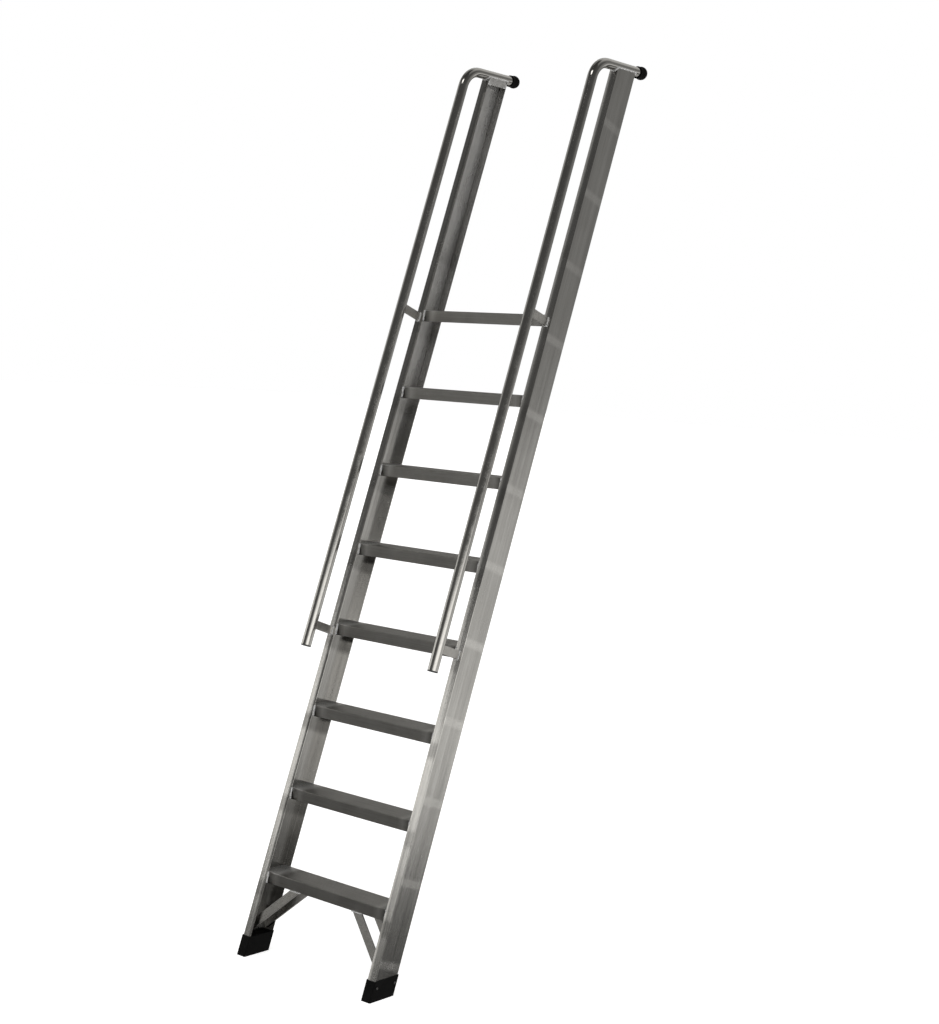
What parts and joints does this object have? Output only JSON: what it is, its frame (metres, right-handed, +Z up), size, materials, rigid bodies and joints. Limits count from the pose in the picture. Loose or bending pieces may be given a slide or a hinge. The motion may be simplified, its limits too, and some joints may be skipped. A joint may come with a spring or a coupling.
{
  "type": "boat boarding ladder",
  "caption": "Leaning welded aluminium boarding ladder: channel stiles, level treads, bent tube handrails, rubber ball bumpers and rubber shoes.",
  "frame": {"origin": "middle of the bounding box, on the floor the shoes stand on", "axes": "+Z up with the ladder at its working lean of 72 degrees, +Y towards the boat that the bumpers rest against, +X to the climber's right"},
  "size_m": [0.532, 1.0224, 2.675],
  "materials": {
    "stile_aluminium": "satin mill finish, lengthwise extrusion lines",
    "tread_aluminium": "satin, ribbed top",
    "polished_tube": "polished tube",
    "plug_plastic": "matt",
    "bumper_rubber": "matt black",
    "bar_aluminium": "satin flat bar",
    "rivet": "dark, dull",
    "foot_rubber": "matt black, moulded"
  },
  "bodies": {
    "root": {"stile_left": "stile_aluminium", "stile_right": "stile_aluminium", "tread_1": "tread_aluminium", "tread_2": "tread_aluminium", "tread_3": "tread_aluminium", "tread_4": "tread_aluminium", "tread_5": "tread_aluminium", "tread_6": "tread_aluminium", "tread_7": "tread_aluminium", "tread_8": "tread_aluminium", "handrail_left": "polished_tube", "handrail_right": "polished_tube", "rail_plug_left": "plug_plastic", "rail_plug_right": "plug_plastic", "hull_bumper_left": "bumper_rubber", "hull_bumper_right": "bumper_rubber", "rail_bracket_lower_left": "bar_aluminium", "rail_bracket_lower_right": "bar_aluminium", "rail_bracket_upper_left": "bar_aluminium", "rail_bracket_upper_right": "bar_aluminium", "top_plate_left": "bar_aluminium", "top_plate_right": "bar_aluminium", "brace_front_left": "bar_aluminium", "brace_front_right": "bar_aluminium", "brace_rear_left": "bar_aluminium", "brace_rear_right": "bar_aluminium", "foot_left": "foot_rubber", "foot_right": "foot_rubber", "foot_rivets_left": "rivet", "foot_rivets_right": "rivet"}
  },
  "joints": []
}
